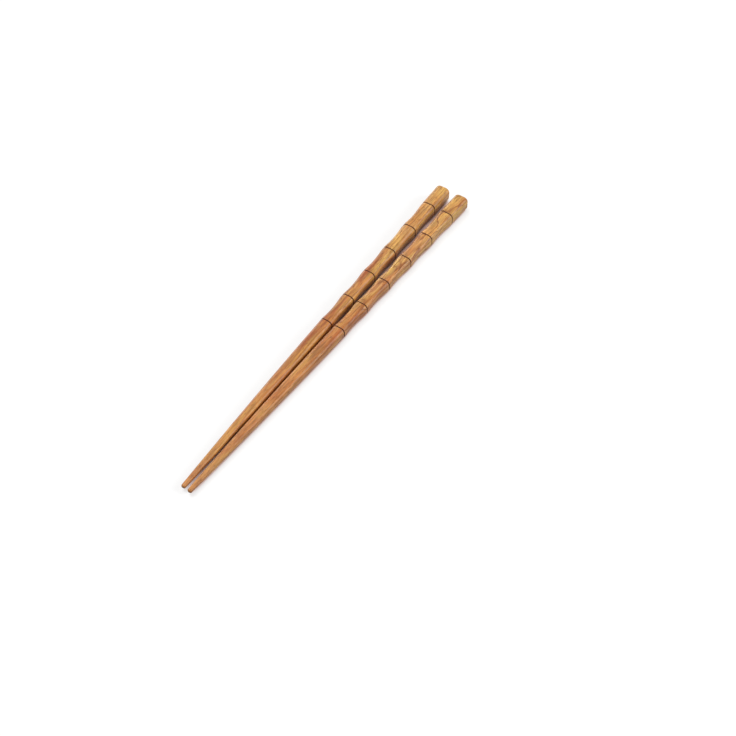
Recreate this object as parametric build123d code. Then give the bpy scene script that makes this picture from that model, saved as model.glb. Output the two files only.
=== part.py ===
from build123d import *

import math
import os

# A pair of carved wooden chopsticks, lying side by side on a table. Each stick is one piece of
# hardwood: a rounded-square bar whose handle is carved like a bamboo cane, with scored joints and
# a hollow between one joint and the next, and which then curves in to a small flat tip.
# The frame: +X points from the tips to the butt ends, +Z is up, and the table top is z = 0.

# Driving dimensions of a stick, in millimetres
stick_length = 225.0
butt_width = 7.8
handle_end_width = 6.5
taper_middle_width = 4.9
tip_width = 2.1
handle_corner_radius = 2.2
butt_edge_radius = 1.1
tip_edge_radius = 0.4

# The carved joints of the handle, set out from the butt end
groove_count = 6
first_groove = 15.75
groove_pitch = 19.0
groove_width = 0.6
groove_depth = 0.4
land_before_groove = 1.5
land_after_groove = 2.5
waist_depth = 0.4

# Where the hollow between two joints is deepest, as a share of the hollow's length
waist_low_share = 0.55

# How the two sticks lie: they draw together towards the tips, and the front one lies a little ahead
closest_gap = 0.8
toe_in = 7.9
front_lead = 0.4

# Values worked out from the driving dimensions
grooves = [first_groove + groove_pitch * number for number in range(groove_count)]
handle_length = grooves[-1] + land_after_groove
bar_length = handle_length + handle_end_width
taper_middle = (handle_length + stick_length) / 2
handle_slope = (butt_width - handle_end_width) / 2 / handle_length
handle_slope_angle = math.degrees(math.atan(handle_slope))
toe_in_angle = math.degrees(math.atan(toe_in / 2 / stick_length))

# The sticks come together until the closest gap is left at the nearest of these places along them
stations = [
    (0.0, butt_width),
    (handle_length, handle_end_width),
    (taper_middle, taper_middle_width),
    (stick_length, tip_width),
]
butt_spacing = closest_gap + max(width + toe_in * place / stick_length for place, width in stations)


def handle_width(distance):
    """Width across the flats of the handle's straight taper, at a distance from the butt end."""
    return butt_width - 2 * handle_slope * distance


def bar():
    """The handle before carving: a straight square taper with its four long edges rounded over.

    It runs a little past the end of the handle, where the rest of the stick takes its place.
    """
    bar_end_width = handle_width(bar_length)
    outline = Polyline(
        (0, butt_width / 2),
        (-bar_length, bar_end_width / 2),
        (-bar_length, -bar_end_width / 2),
        (0, -butt_width / 2),
        close=True,
    )
    board = extrude(make_face(outline), max(butt_width, bar_end_width), both=True)
    blank = board & Rot(90, 0, 0) * board
    long_edges = blank.edges().filter_by(lambda edge: edge.length > bar_length / 2)
    return fillet(long_edges, handle_corner_radius)


def ring(blank, distance, width, place):
    """The bar's section at a distance from the butt end, scaled to a width and set at a place."""
    centre = Vector(-distance, 0, 0)
    face = section(blank, section_by=Plane(origin=centre, z_dir=(-1, 0, 0))).face()
    return Pos(distance - place, 0, 0) * face.scale(width / handle_width(distance), about=centre)


def taper(blank):
    """The plain lower half of the stick, from the end of the handle to the tip."""
    return loft([ring(blank, handle_length, width, place) for place, width in stations[1:]])


def groove_stretch(distance):
    """Start, low point and end of the V-groove that scores one joint round the handle."""
    return distance - groove_width / 2, distance, distance + groove_width / 2


def hollow_stretch(distance):
    """Start, low point and end of the shallow waist between a joint and the next one towards the tip."""
    start = distance + land_after_groove
    end = distance + groove_pitch - land_before_groove
    return start, start + waist_low_share * (end - start), end


def straight(start, end):
    """A block round the stretch of the bar from one place to another, to take it away."""
    side = 2 * max(butt_width, handle_end_width)
    return Pos(-(start + end) / 2, 0, 0) * Box(end - start, side, side)


def carved(blank, stretch, depth, ruled):
    """A stretch of the bar that narrows on every side, by the depth at its low point."""
    start, low, end = stretch
    rings = [
        ring(blank, start, handle_width(start), start),
        ring(blank, low, handle_width(low) - 2 * depth, low),
        ring(blank, end, handle_width(end), end),
    ]
    return loft(rings, ruled=ruled)


def chopstick():
    """One stick, with its axis along X and the middle of its butt end at the origin."""
    blank = bar()
    grooved = [groove_stretch(distance) for distance in grooves]
    hollowed = [hollow_stretch(distance) for distance in grooves[:-1]]
    stick = blank - straight(handle_length, bar_length)
    stick -= [straight(start, end) for start, low, end in grooved + hollowed]
    stick += [carved(blank, stretch, groove_depth, True) for stretch in grooved]
    stick += [carved(blank, stretch, waist_depth, False) for stretch in hollowed]
    stick += taper(blank)
    butt_end = stick.faces().sort_by(Axis.X)[-1]
    stick = fillet(butt_end.edges(), butt_edge_radius)
    tip_end = stick.faces().sort_by(Axis.X)[0]
    stick = fillet(tip_end.edges(), tip_edge_radius)
    return stick


def resting(stick):
    """The stick laid on the table, with the straight underside of its handle level."""
    level = Rot(0, -handle_slope_angle, 0) * stick
    return Pos(0, 0, -level.bounding_box().min.Z) * level


stick = resting(chopstick())
front = Pos(-front_lead, -butt_spacing / 2, 0) * Rot(0, 0, -toe_in_angle) * stick
rear = Pos(0, butt_spacing / 2, 0) * Rot(0, 0, toe_in_angle) * stick
middle = Compound([front, rear]).bounding_box().center()
to_origin = Pos(-middle.X, -middle.Y, 0)

os.makedirs("parts", exist_ok=True)
export_step(to_origin * front, "parts/front_chopstick.step")
export_step(to_origin * rear, "parts/rear_chopstick.step")
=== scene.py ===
import math

import bpy
import numpy as np
from mathutils import Matrix, Vector


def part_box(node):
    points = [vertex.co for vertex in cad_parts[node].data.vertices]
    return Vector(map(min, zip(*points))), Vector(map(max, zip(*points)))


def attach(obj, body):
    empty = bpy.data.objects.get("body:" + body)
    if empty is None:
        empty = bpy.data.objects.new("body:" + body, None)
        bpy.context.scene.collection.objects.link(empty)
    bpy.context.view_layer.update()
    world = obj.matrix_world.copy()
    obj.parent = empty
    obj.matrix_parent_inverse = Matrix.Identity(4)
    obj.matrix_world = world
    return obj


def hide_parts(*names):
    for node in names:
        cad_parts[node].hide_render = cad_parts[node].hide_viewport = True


# A pair of carved wooden chopsticks lying on a white table. Each stick is one closed mesh, ringed
# along its length like the solid it stands for, with wood that runs through it as it does in a real
# piece of timber. The frame is the part's own: +X from the tips to the butt ends, +Z up, metres.
# The sizes named below are in millimetres, unless their comment says otherwise.

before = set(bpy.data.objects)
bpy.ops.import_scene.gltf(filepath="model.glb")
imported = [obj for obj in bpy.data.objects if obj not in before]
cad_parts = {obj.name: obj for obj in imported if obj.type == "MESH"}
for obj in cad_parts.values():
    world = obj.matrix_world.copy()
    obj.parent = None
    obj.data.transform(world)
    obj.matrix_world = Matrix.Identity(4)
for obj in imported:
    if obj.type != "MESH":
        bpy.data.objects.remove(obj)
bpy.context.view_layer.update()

MM = 0.001

# The shape of a stick, whose places are measured along it from the butt end
STICK_LENGTH = 225.0
BUTT_WIDTH = 7.8
HANDLE_END_WIDTH = 6.5
TAPER_MIDDLE_WIDTH = 4.9
TIP_WIDTH = 2.1
CORNER_RADIUS = 2.2
BUTT_EDGE_RADIUS = 1.6
TIP_EDGE_RADIUS = 0.8

# The scored joints of the handle and the hollows between them
GROOVE_COUNT = 6
FIRST_GROOVE = 15.75
GROOVE_PITCH = 19.0
GROOVE_WIDTH = 0.6
GROOVE_DEPTH = 0.4
LAND_BEFORE_GROOVE = 1.5
LAND_AFTER_GROOVE = 2.5
WAIST_DEPTH = 0.4

# Where the hollow between two joints is deepest, as a share of the hollow's length
WAIST_LOW_SHARE = 0.55

# How far to each side of a joint's middle the wood is burnt dark
SCORCH_REACH = 0.48

# How the two sticks lie: the front one on the -Y side, and both drawn together towards the tips
FRONT = -1
REAR = 1
TOE_IN = 7.9

# Values worked out from the sizes above, with angles in radians
GROOVES = [FIRST_GROOVE + GROOVE_PITCH * number for number in range(GROOVE_COUNT)]
HANDLE_LENGTH = GROOVES[-1] + LAND_AFTER_GROOVE
HANDLE_SLOPE = math.atan((BUTT_WIDTH - HANDLE_END_WIDTH) / 2 / HANDLE_LENGTH)
TOE_IN_ANGLE = math.atan(TOE_IN / 2 / STICK_LENGTH)

# How finely a stick is meshed: steps over each flat, long corner and end edge, then along the stick
FLAT_STEPS = 8
CORNER_STEPS = 8
ROUND_STEPS = 7
HANDLE_STEP = 0.55
TAPER_STEP = 0.9

# Where rings lie to each side of a joint's middle, and how far the handle's other rings keep from it
GROOVE_RINGS = (0.06, 0.13, 0.22, 0.3, 0.36, 0.46, 0.56)
GROOVE_ROOM = 0.6

# The rings that close each end, as shares of the end's own ring, in the order from butt end to tip
BUTT_CAP = (0.3, 0.6, 0.85)
TIP_CAP = (0.7, 0.35)

# How far the carving wanders, as hand work does, with the shortest and longest of its waves
FACE_WANDER = 0.045
FACE_WAVES = (9.0, 31.0)
GROOVE_WANDER = 0.07
GROOVE_WAVES = (40.0, 90.0)
WAVE_COUNT = 4
MOST_WAVES_ROUND = 3

# Each joint reads the waves at its own place times this, so that no two joints wander alike
GROOVE_WAVE_JUMP = 7.3

# The wander dies away on the underside, so that a stick rests true on the table: it is gone where
# the surface looks down by this share
TRUE_UNDERSIDE = 0.6


def handle_width(place):
    """Width across the flats of the handle's straight taper."""
    return BUTT_WIDTH - (BUTT_WIDTH - HANDLE_END_WIDTH) * place / HANDLE_LENGTH


def taper_width(place):
    """Width across the flats below the handle, on one curve through its start, middle and tip."""
    share = (place - HANDLE_LENGTH) / (STICK_LENGTH - HANDLE_LENGTH)
    start = HANDLE_END_WIDTH * (1 - share) * (1 - 2 * share)
    middle = TAPER_MIDDLE_WIDTH * 4 * share * (1 - share)
    end = TIP_WIDTH * share * (2 * share - 1)
    return start + middle + end


def hollow_share(place):
    """How deep the shallow waist between two joints is, from 0 on the lands to 1 at its low point."""
    for groove in GROOVES[:-1]:
        start = groove + LAND_AFTER_GROOVE
        end = groove + GROOVE_PITCH - LAND_BEFORE_GROOVE
        if start < place < end:
            low = start + WAIST_LOW_SHARE * (end - start)
            reach = low - start if place < low else end - low
            return 1 - ((place - low) / reach) ** 2
    return 0.0


def edge_inset(distance, radius):
    """How far a rounded edge has drawn in, at a distance from the end that it rounds."""
    if distance >= radius:
        return 0.0
    return radius - math.sqrt(max(0.0, radius ** 2 - (radius - distance) ** 2))


def end_share(place):
    """How much the surface looks along the stick, from 0 on its sides to 1 on its two ends."""
    butt = 1 - place / BUTT_EDGE_RADIUS
    tip = 1 - (STICK_LENGTH - place) / TIP_EDGE_RADIUS
    return max(0.0, butt, tip)


def ring_places():
    """Where the rings of the mesh lie along a stick, closer together where the form is finer."""
    places = set(GROOVES)
    for step in range(ROUND_STEPS + 1):
        turn = math.pi / 2 * step / ROUND_STEPS
        places.add(BUTT_EDGE_RADIUS * (1 - math.cos(turn)))
        places.add(STICK_LENGTH - TIP_EDGE_RADIUS * (1 - math.cos(turn)))
    for groove in GROOVES:
        places.update(groove - offset for offset in GROOVE_RINGS)
        places.update(groove + offset for offset in GROOVE_RINGS)
    for place in np.arange(BUTT_EDGE_RADIUS, HANDLE_LENGTH, HANDLE_STEP):
        if min(abs(place - groove) for groove in GROOVES) > GROOVE_ROOM:
            places.add(float(place))
    for place in np.arange(HANDLE_LENGTH, STICK_LENGTH - TIP_EDGE_RADIUS, TAPER_STEP):
        places.add(float(place))
    return sorted(places)


def ring_columns():
    """The points round a rounded square, as a corner of its inner square and a direction out of it."""
    inner, outward = [], []
    for side in range(4):
        turn = side * math.pi / 2
        across = np.array([math.cos(turn), math.sin(turn)])
        along = np.array([-math.sin(turn), math.cos(turn)])
        for step in range(FLAT_STEPS):
            inner.append(across + along * (2 * step / FLAT_STEPS - 1))
            outward.append(across)
        for step in range(CORNER_STEPS):
            bend = math.pi / 2 * step / CORNER_STEPS
            inner.append(across + along)
            outward.append(across * math.cos(bend) + along * math.sin(bend))
    return np.array(inner), np.array(outward)


def slow_waves(seed, lengths):
    """A smooth seeded wandering from 0 to 1, as a function of the place and the angle round it."""
    draw = np.random.default_rng(seed)
    wavelengths = draw.uniform(lengths[0], lengths[1], WAVE_COUNT)
    turns = draw.integers(1, MOST_WAVES_ROUND + 1, WAVE_COUNT)
    phases = draw.uniform(0, 2 * math.pi, WAVE_COUNT)

    def value(place, angle):
        total = sum(
            np.sin(2 * math.pi * place / length + turn * angle + phase)
            for length, turn, phase in zip(wavelengths, turns, phases)
        )
        return 0.5 + 0.5 * total / WAVE_COUNT

    return value


def stick_rings(seed):
    """The points of every ring of a stick, with how near to a joint's middle and to an end they lie."""
    inner, outward = ring_columns()
    columns = len(inner)
    angle = np.arctan2(outward[:, 1], outward[:, 0])
    freedom = np.clip(outward[:, 1] + TRUE_UNDERSIDE, 0, 1)
    face_wander = slow_waves(seed, FACE_WAVES)
    groove_wander = slow_waves(seed + 1, GROOVE_WAVES)
    joints = []
    for groove in GROOVES:
        sway = 2 * groove_wander(groove * GROOVE_WAVE_JUMP, angle) - 1
        joints.append(groove + GROOVE_WANDER * sway * freedom)
    points, scored, ended = [], [], []
    for place in ring_places():
        on_handle = place <= HANDLE_LENGTH
        width = handle_width(place) if on_handle else taper_width(place)
        radius = CORNER_RADIUS if on_handle else CORNER_RADIUS * width / HANDLE_END_WIDTH
        inset = edge_inset(place, BUTT_EDGE_RADIUS)
        inset += edge_inset(STICK_LENGTH - place, TIP_EDGE_RADIUS)
        away = np.abs(place - np.array(joints)).min(axis=0)
        cut = np.maximum(0, 1 - away / (GROOVE_WIDTH / 2))
        waist = WAIST_DEPTH * hollow_share(place)
        wander = FACE_WANDER * face_wander(place, angle) * freedom
        depth = waist + wander * (1 - cut) + GROOVE_DEPTH * cut
        scale = (1 - 2 * depth / width)[:, None]
        half = width / 2 - inset
        bend = min(radius, half)
        ring = ((half - bend) * inner + bend * outward) * scale
        points.append(np.column_stack([np.full(columns, -place), ring]))
        scored.append(np.maximum(0, 1 - away / SCORCH_REACH))
        ended.append(np.full(columns, end_share(place)))
    return np.array(points), np.array(scored), np.array(ended)


def end_cap(ring, shares):
    """Rings that close an end of a stick, drawn in towards its middle point."""
    middle = ring.mean(axis=0)
    return np.array([middle + (ring - middle) * share for share in shares]), middle


def settled(points, node, side):
    """The points of a stick as it rests: handle level, turned in, and set where its solid lies."""
    level = Matrix.Rotation(-HANDLE_SLOPE, 3, "Y")
    toe = Matrix.Rotation(side * TOE_IN_ANGLE, 3, "Z")
    turned = points @ np.array(toe @ level).T
    low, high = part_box(node)
    outer = low[1] - turned[:, 1].min() if side == FRONT else high[1] - turned[:, 1].max()
    return turned + np.array([high[0] - turned[:, 0].max(), outer, low[2] - turned[:, 2].min()])


def stick_faces(rows, columns):
    """The faces of a stick: its rings joined up, and each end closed round its middle point.

    The two middle points follow the rings, that of the butt end first.
    """
    faces = []
    for row in range(rows - 1):
        here = row * columns
        there = here + columns
        for column in range(columns):
            after = (column + 1) % columns
            faces.append((here + column, there + column, there + after, here + after))
    last = (rows - 1) * columns
    butt_middle = rows * columns
    tip_middle = butt_middle + 1
    for column in range(columns):
        after = (column + 1) % columns
        faces.append((butt_middle, column, after))
        faces.append((tip_middle, last + after, last + column))
    return faces


def stick_mesh(name, node, side, seed):
    """The mesh of a stick where it rests, which also keeps each point's place in the stick's timber."""
    rings, scored, ended = stick_rings(seed)
    butt_rings, butt_middle = end_cap(rings[0], BUTT_CAP)
    tip_rings, tip_middle = end_cap(rings[-1], TIP_CAP)
    all_rings = np.concatenate([butt_rings, rings, tip_rings])
    rows, columns = all_rings.shape[:2]
    timber = np.concatenate([all_rings.reshape(-1, 3), [butt_middle, tip_middle]])

    # The ends are bare of scorching and all end grain
    end_points = (len(BUTT_CAP) * columns, len(TIP_CAP) * columns + 2)
    scorch = np.pad(scored.ravel(), end_points, constant_values=0.0)
    end_grain = np.pad(ended.ravel(), end_points, constant_values=1.0)

    mesh = bpy.data.meshes.new(name)
    mesh.from_pydata(settled(timber * MM, node, side).tolist(), [], stick_faces(rows, columns))
    places = mesh.attributes.new("timber", "FLOAT_VECTOR", "POINT")
    places.data.foreach_set("vector", timber.ravel())
    for label, values in (("scorch", scorch), ("end_grain", end_grain)):
        mesh.attributes.new(label, "FLOAT", "POINT").data.foreach_set("value", values)
    mesh.shade_smooth()
    mesh.update()
    return mesh


# The Mix node's sockets for colours, by number, because those for other kinds share their names
MIX_SHARE = 0
MIX_FIRST = 6
MIX_SECOND = 7
MIX_RESULT = 2


class Nodes:
    """A short way to add and join the nodes of a material or a world."""

    def __init__(self, tree):
        self.tree = tree
        tree.nodes.clear()

    def add(self, kind, inputs=None, **settings):
        """A new node, with its settings made and its inputs set or joined."""
        made = self.tree.nodes.new(kind)
        for name, value in settings.items():
            setattr(made, name, value)
        for socket, value in (inputs or {}).items():
            self.put(made.inputs[socket], value)
        return made

    def put(self, socket, value):
        """Joins another node's output to a socket, or sets a plain value on it."""
        if isinstance(value, bpy.types.NodeSocket):
            self.tree.links.new(value, socket)
        else:
            socket.default_value = value

    def attribute(self, name, output):
        """What the mesh keeps under a name for each of its points."""
        return self.add("ShaderNodeAttribute", attribute_name=name).outputs[output]

    def math(self, operation, first, second=0.0, third=0.0):
        """The result of an operation on up to three values."""
        made = self.add("ShaderNodeMath", {0: first, 1: second, 2: third}, operation=operation)
        return made.outputs["Value"]

    def ramp(self, value, stops):
        """A colour that runs from one stop to the next as the value rises."""
        made = self.add("ShaderNodeValToRGB", {"Fac": value})
        points = made.color_ramp.elements
        while len(points) < len(stops):
            points.new(0.5)
        for point, (position, colour) in zip(points, stops):
            point.position = position
            point.color = colour
        return made.outputs["Color"]

    def fade(self, value, low, high, start=0.0, end=1.0):
        """Runs smoothly from start to end as the value goes from low to high."""
        made = self.add(
            "ShaderNodeMapRange",
            {"Value": value, "From Min": low, "From Max": high, "To Min": start, "To Max": end},
            interpolation_type="SMOOTHSTEP",
        )
        return made.outputs["Result"]

    def mix(self, share, first, second, blend="MIX"):
        """The first colour, with a share of the second mixed in."""
        made = self.add(
            "ShaderNodeMix",
            {MIX_SHARE: share, MIX_FIRST: first, MIX_SECOND: second},
            data_type="RGBA",
            blend_type=blend,
        )
        return made.outputs[MIX_RESULT]

    def grain(self, timber, shift, along, across, detail=2.0, roughness=0.5):
        """Noise drawn out along the grain, where along and across say how fine it is, per millimetre."""
        drawn_out = self.add(
            "ShaderNodeMapping",
            {"Vector": timber, "Location": shift, "Scale": (along, across, across)},
        )
        made = self.add(
            "ShaderNodeTexNoise",
            {
                "Vector": drawn_out.outputs["Vector"],
                "Scale": 1.0,
                "Detail": detail,
                "Roughness": roughness,
            },
        )
        return made.outputs["Fac"]

    def seen_and_lighting(self, seen, lighting):
        """One shader for what the camera sees, in gloss and glass too, and another for what lights."""
        path = self.add("ShaderNodeLightPath").outputs
        direct = self.math("MAXIMUM", path["Is Camera Ray"], path["Is Glossy Ray"])
        direct = self.math("MAXIMUM", direct, path["Is Transmission Ray"])
        made = self.add("ShaderNodeMixShader", {0: direct, 1: lighting, 2: seen})
        return made.outputs["Shader"]


def new_material(name):
    """A material with no nodes yet, and the way to add them."""
    material = bpy.data.materials.new(name)
    material.use_nodes = True
    return material, Nodes(material.node_tree)


def srgb(red, green, blue):
    """A colour as it looks on screen, from 0 to 255, for a shader, by the standard sRGB curve."""
    linear = []
    for value in (red, green, blue):
        share = value / 255
        linear.append(share / 12.92 if share <= 0.04045 else ((share + 0.055) / 1.055) ** 2.4)
    return (*linear, 1.0)


def grey(share):
    """A grey that throws back a share of the light, for a shader."""
    return (share, share, share, 1.0)


# The colours of the wood
GOLD = srgb(224, 175, 92)
TAN = srgb(214, 158, 97)
OLIVE = srgb(209, 161, 80)
COPPER = srgb(188, 121, 58)
ORANGE_BROWN = srgb(196, 123, 60)
RED_BROWN = srgb(162, 82, 36)
FIGURE_BROWN = srgb(146, 84, 38)
END_BROWN = srgb(172, 114, 62)
PORE_BROWN = srgb(116, 62, 30)
SCORCHED = srgb(82, 34, 12)

# How much of their brown the late wood and the end grain take
LATE_WOOD_SHARE = 0.42
END_GRAIN_SHARE = 0.7

# The growth rings, from one to the next, and how far their pith drifts across for each millimetre
RING_SPACING = 1.7
PITH_DRIFT = 0.012

# How far before and after its ends the red band fades in and out
RED_FADE_IN = 10.0
RED_FADE_OUT = 15.0

# Curled figure lines run where their noise passes its middle value
NOISE_MIDDLE = 0.5

# The satin finish: roughness of plain wood, what fibres and dull places add, and the fine relief
SATIN_ROUGHNESS = 0.36
FIBRE_ROUGHNESS = 0.14
DULL_ROUGHNESS = 0.2
PORE_DEPTH_SHARE = 0.7
RELIEF_HEIGHT = 0.08
RELIEF_STRENGTH = 0.35


def wood_patches(nodes, timber, from_butt, shift):
    """Broad patches of gold, olive and orange brown along the stick, more copper towards the tip."""
    first, second, third = shift
    patch = nodes.grain(timber, shift, along=0.045, across=0.2)
    colour = nodes.ramp(patch, [(0.3, ORANGE_BROWN), (0.44, TAN), (0.58, GOLD), (0.72, OLIVE)])
    blotch = nodes.grain(timber, (second, third, first), along=0.075, across=0.28)
    colour = nodes.mix(nodes.fade(blotch, low=0.48, high=0.68, end=0.65), colour, ORANGE_BROWN)
    colour = nodes.mix(nodes.fade(from_butt, low=60.0, high=20.0, end=0.4), colour, GOLD)
    return nodes.mix(nodes.fade(from_butt, low=58.0, high=112.0, end=0.6), colour, COPPER)


def red_streak(nodes, timber, axes, shift, place, width, strength, start, end):
    """How strongly a reddish band shows, by its place across the stick and its start and end along it."""
    from_butt, across, _ = axes
    away = nodes.math("ABSOLUTE", nodes.math("SUBTRACT", across, place))
    near = nodes.fade(away, low=width, high=0.0, end=strength)
    streak = nodes.grain(timber, shift, along=0.07, across=0.4, detail=3.0)
    band = nodes.math("MULTIPLY", near, nodes.fade(streak, low=0.3, high=0.6))
    begun = nodes.fade(from_butt, low=start - RED_FADE_IN, high=start + RED_FADE_IN)
    lasting = nodes.fade(from_butt, low=end + RED_FADE_OUT, high=end - RED_FADE_OUT)
    return nodes.math("MULTIPLY", band, nodes.math("MULTIPLY", begun, lasting))


def late_wood(nodes, timber, axes, shift, pith, wave):
    """The darker part of each growth ring, about a pith outside the stick, drawn out along the grain."""
    from_butt, across, up = axes
    pith_across, pith_up = pith
    sway = nodes.grain(timber, shift, along=0.03, across=0.16, detail=3.0)
    off_across = nodes.math("SUBTRACT", across, pith_across)
    off_across = nodes.math("MULTIPLY_ADD", from_butt, -PITH_DRIFT, off_across)
    off_up = nodes.math("SUBTRACT", up, pith_up)
    across_squared = nodes.math("MULTIPLY", off_across, off_across)
    up_squared = nodes.math("MULTIPLY", off_up, off_up)
    distance = nodes.math("SQRT", nodes.math("ADD", across_squared, up_squared))
    reach = nodes.math("MULTIPLY_ADD", sway, wave, distance)
    ring = nodes.math("FRACT", nodes.math("DIVIDE", reach, RING_SPACING))
    darkening = nodes.fade(ring, low=0.4, high=0.84)
    return nodes.math("MULTIPLY", darkening, nodes.fade(ring, low=1.0, high=0.9))


def figure_lines(nodes, timber, from_butt, shift, strength):
    """How strongly curled lines of dark figure show, in places and mostly along the handle."""
    other = shift[::-1]
    curl = nodes.grain(timber, other, along=0.08, across=0.34, detail=1.0)
    away = nodes.math("ABSOLUTE", nodes.math("SUBTRACT", curl, NOISE_MIDDLE))
    patch = nodes.grain(timber, other, along=0.05, across=0.2, detail=1.0)
    patchy = nodes.fade(patch, low=0.36, high=0.54, end=strength)
    shown = nodes.math("MULTIPLY", nodes.fade(away, low=0.055, high=0.005), patchy)
    return nodes.math("MULTIPLY", shown, nodes.fade(from_butt, low=150.0, high=110.0, start=0.3))


def streaked(nodes, timber, shift, fibre, colour):
    """The colour made lighter and darker in long streaks and along its fibres."""
    streak = nodes.grain(timber, shift, along=0.1, across=0.85)
    tone = nodes.fade(streak, low=0.3, high=0.7, start=0.82, end=1.17)
    tone = nodes.math("MULTIPLY", tone, nodes.fade(fibre, low=0.3, high=0.7, start=0.88, end=1.11))
    tint = nodes.add("ShaderNodeCombineColor", {"Red": tone, "Green": tone, "Blue": tone})
    return nodes.mix(1.0, colour, tint.outputs["Color"], blend="MULTIPLY")


def fine_pores(nodes, timber, shift):
    """How strongly pores show, as fine dark dashes along the grain."""
    first, second, third = shift
    dash = nodes.grain(timber, (third, first, second), along=0.3, across=3.4, detail=1.0)
    return nodes.fade(dash, low=0.6, high=0.7, end=0.7)


def satin_finish(nodes, colour, fibre, pores, burn, end_grain):
    """A satin surface, a little duller in the pores and the joints, with a fine relief on its sides."""
    dull = nodes.math("MAXIMUM", pores, burn)
    roughness = nodes.math("MULTIPLY_ADD", dull, DULL_ROUGHNESS, SATIN_ROUGHNESS)
    roughness = nodes.math("MULTIPLY_ADD", fibre, FIBRE_ROUGHNESS, roughness)
    relief = nodes.math("MULTIPLY_ADD", pores, -PORE_DEPTH_SHARE, fibre)
    relief = nodes.math("MULTIPLY", relief, nodes.math("SUBTRACT", 1.0, end_grain))
    bump = nodes.add(
        "ShaderNodeBump",
        {"Height": relief, "Strength": RELIEF_STRENGTH, "Distance": RELIEF_HEIGHT * MM},
    )
    shader = nodes.add(
        "ShaderNodeBsdfPrincipled",
        {
            "Base Color": colour,
            "Roughness": roughness,
            "Specular IOR Level": 0.25,
            "Coat Weight": 0.22,
            "Coat Roughness": 0.3,
            "Normal": bump.outputs["Normal"],
        },
    )
    nodes.add("ShaderNodeOutputMaterial", {"Surface": shader.outputs["BSDF"]})


def golden_wood(name, shift, pith, wave, red_band, figure):
    """Satin hardwood that runs through the stick as timber does: patches, rings, streaks and pores.

    shift sets which piece of the timber this is, pith is where the tree's heart runs, wave how much
    the rings waver, red_band where a reddish band runs, and figure how dark the curled lines are.
    """
    material, nodes = new_material(name)
    timber = nodes.attribute("timber", "Vector")
    along, across, up = nodes.add("ShaderNodeSeparateXYZ", {"Vector": timber}).outputs
    from_butt = nodes.math("MULTIPLY", along, -1.0)
    axes = (from_butt, across, up)
    fibre = nodes.grain(timber, shift, along=0.12, across=3.2, detail=3.0, roughness=0.6)

    # The wood's own colour: patches, the red band, late wood and figure, all lightly streaked
    colour = wood_patches(nodes, timber, from_butt, shift)
    colour = nodes.mix(red_streak(nodes, timber, axes, shift, **red_band), colour, RED_BROWN)
    late = late_wood(nodes, timber, axes, shift, pith, wave)
    colour = nodes.mix(nodes.math("MULTIPLY", late, LATE_WOOD_SHARE), colour, RED_BROWN)
    colour = nodes.mix(figure_lines(nodes, timber, from_butt, shift, figure), colour, FIGURE_BROWN)
    colour = streaked(nodes, timber, shift, fibre, colour)

    # What darkens it: pores, burnt joints and end grain
    pores = fine_pores(nodes, timber, shift)
    colour = nodes.mix(pores, colour, PORE_BROWN)
    burn = nodes.fade(nodes.attribute("scorch", "Fac"), low=0.05, high=0.6, end=0.95)
    colour = nodes.mix(burn, colour, SCORCHED)
    end_grain = nodes.attribute("end_grain", "Fac")
    colour = nodes.mix(nodes.math("MULTIPLY", end_grain, END_GRAIN_SHARE), colour, END_BROWN)

    satin_finish(nodes, colour, fibre, pores, burn, end_grain)
    return material


def chopstick(node, side, seed, material):
    """One stick of the pair, in place of its solid."""
    name = node + "_wood"
    stick = bpy.data.objects.new(name, stick_mesh(name, node, side, seed))
    bpy.context.collection.objects.link(stick)
    stick.data.materials.append(material)
    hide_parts(node)
    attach(stick, "root")


# The table top, a hair below the sticks, and the shares of light that it shows and throws back
FLOOR_SIZE = 6000.0
FLOOR_DROP = 0.1
FLOOR_SHOWN = 0.42
FLOOR_BOUNCE = 0.14

# How strongly the open floor glows, how near a stick has to be to close it in, and the colour of the
# glow where the floor is open and where it is closed in, warm there as a painted reflection of the
# light that wood throws back
FLOOR_GLOW = 0.63
CLOSING_REACH = 10.0
CLOSING_SAMPLES = 16
WHITE = srgb(255, 255, 255)
PAINTED_WOOD_BOUNCE = srgb(255, 188, 172)


def white_floor():
    """A white table top that keeps the sticks' own soft shadow and throws a little less light back.

    Where the sticks leave it open it also glows a little, so that their shadow stays a pale one. The
    glow fades out where they close it in, which paints shade into the floor, most of all in the gap
    between them, and there it is tinted warm, a painted reflection of the light that wood throws back.
    """
    bpy.ops.mesh.primitive_plane_add(size=FLOOR_SIZE * MM, location=(0, 0, -FLOOR_DROP * MM))
    floor = bpy.context.active_object
    floor.name = "floor"
    material, nodes = new_material("white_floor")
    closing = nodes.add(
        "ShaderNodeAmbientOcclusion",
        {"Distance": CLOSING_REACH * MM},
        samples=CLOSING_SAMPLES,
    )
    openness = closing.outputs["AO"]
    # The glow fades out where a stick closes the floor in: painted shade, most of all in the gap between
    # them
    strength = nodes.fade(openness, low=0.13, high=0.52, end=FLOOR_GLOW)
    # Warm glow where the floor is closed in: a painted reflection of light thrown back by the wood
    tint = nodes.mix(nodes.fade(openness, low=0.25, high=0.55), PAINTED_WOOD_BOUNCE, WHITE)
    glow = nodes.add("ShaderNodeEmission", {"Color": tint, "Strength": strength})
    shown = nodes.add("ShaderNodeBsdfDiffuse", {"Color": grey(FLOOR_SHOWN)})
    lit = nodes.add("ShaderNodeAddShader", {0: shown.outputs["BSDF"], 1: glow.outputs["Emission"]})
    bounce = nodes.add("ShaderNodeBsdfDiffuse", {"Color": grey(FLOOR_BOUNCE)})
    surface = nodes.seen_and_lighting(seen=lit.outputs["Shader"], lighting=bounce.outputs["BSDF"])
    nodes.add("ShaderNodeOutputMaterial", {"Surface": surface})
    floor.data.materials.append(material)


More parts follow.
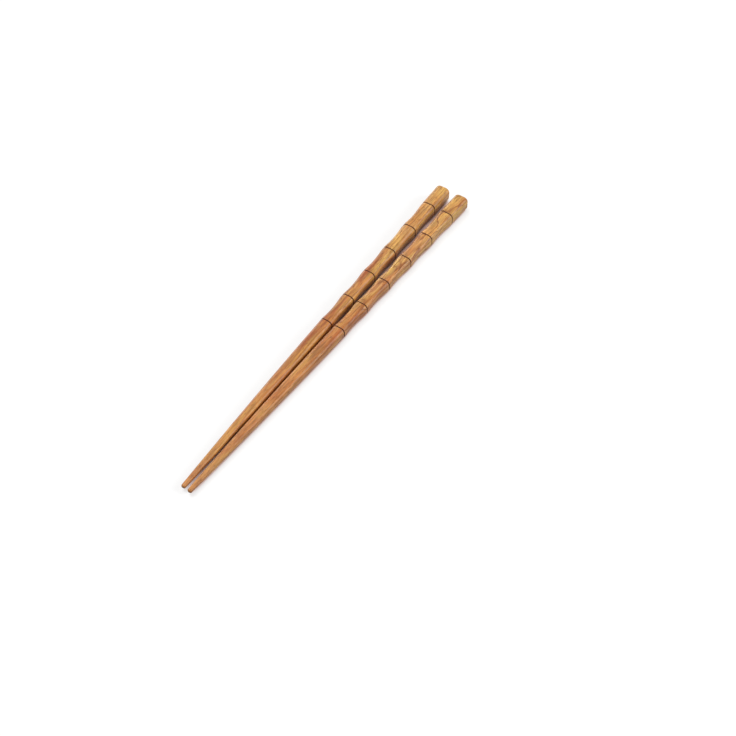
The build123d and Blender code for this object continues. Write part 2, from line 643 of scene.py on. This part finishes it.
def pale_world(strength):
    """Even light from all round, and plain white behind the table."""
    world = bpy.data.worlds.new("studio")
    bpy.context.scene.world = world
    world.use_nodes = True
    nodes = Nodes(world.node_tree)
    white = nodes.add("ShaderNodeBackground", {"Color": WHITE, "Strength": 1.0})
    light = nodes.add("ShaderNodeBackground", {"Color": WHITE, "Strength": strength})
    surface = nodes.seen_and_lighting(
        seen=white.outputs["Background"],
        lighting=light.outputs["Background"],
    )
    nodes.add("ShaderNodeOutputWorld", {"Surface": surface})


def soft_light(name, place, spread, strength):
    """A broad soft light that falls evenly on the whole table, from the side where it is placed.

    The place is in metres and the spread in degrees.
    """
    lamp = bpy.data.lights.new(name, "SUN")
    lamp.angle = math.radians(spread)
    lamp.energy = strength
    thing = bpy.data.objects.new(name, lamp)
    thing.location = place
    thing.rotation_euler = (-Vector(place)).to_track_quat("-Z", "Y").to_euler()
    bpy.context.collection.objects.link(thing)


# The photograph's camera: the point it looks at, where it looks from, with angles in degrees, and
# its lens
CAMERA_TARGET = (-7.22, -26.78, 0.0)
CAMERA_AZIMUTH = -55.92
CAMERA_ELEVATION = 50.65
CAMERA_DISTANCE = 685.86
CAMERA_LENS = 70.14
CAMERA_SENSOR = 36.0
CAMERA_CLIP_START = 10.0


def photo_camera():
    """The camera of the photograph, looking down at the pair from its front left."""
    azimuth = math.radians(CAMERA_AZIMUTH)
    elevation = math.radians(CAMERA_ELEVATION)
    back = Vector((
        math.sin(azimuth) * math.cos(elevation),
        -math.cos(azimuth) * math.cos(elevation),
        math.sin(elevation),
    ))
    lens = bpy.data.cameras.new("photo_camera")
    lens.sensor_width = CAMERA_SENSOR
    lens.lens = CAMERA_LENS
    lens.clip_start = CAMERA_CLIP_START * MM
    camera = bpy.data.objects.new("photo_camera", lens)
    camera.location = (Vector(CAMERA_TARGET) + CAMERA_DISTANCE * back) * MM
    camera.rotation_euler = (-back).to_track_quat("-Z", "Y").to_euler()
    bpy.context.collection.objects.link(camera)
    bpy.context.scene.camera = camera


scene = bpy.context.scene
scene.view_settings.view_transform = "Standard"

front_wood = golden_wood(
    "front_golden_wood",
    shift=(3.0, 11.0, 7.0),
    pith=(2.5, -13.0),
    wave=8.0,
    red_band={"place": -2.0, "width": 3.2, "strength": 0.7, "start": 62.0, "end": 130.0},
    figure=0.88,
)
rear_wood = golden_wood(
    "rear_golden_wood",
    shift=(41.0, 5.0, 23.0),
    pith=(-16.0, 9.0),
    wave=5.0,
    red_band={"place": 0.9, "width": 2.8, "strength": 1.0, "start": 50.0, "end": 140.0},
    figure=0.4,
)
chopstick("front_chopstick", side=FRONT, seed=11, material=front_wood)
chopstick("rear_chopstick", side=REAR, seed=29, material=rear_wood)

white_floor()
pale_world(strength=0.25)
soft_light("left", place=(0.0, 0.32, 0.95), spread=35.0, strength=1.5)
soft_light("right", place=(0.47, -0.76, 0.45), spread=32.0, strength=1.65)
soft_light("rim", place=(0.50, 0.82, 0.28), spread=30.0, strength=0.8)
photo_camera()
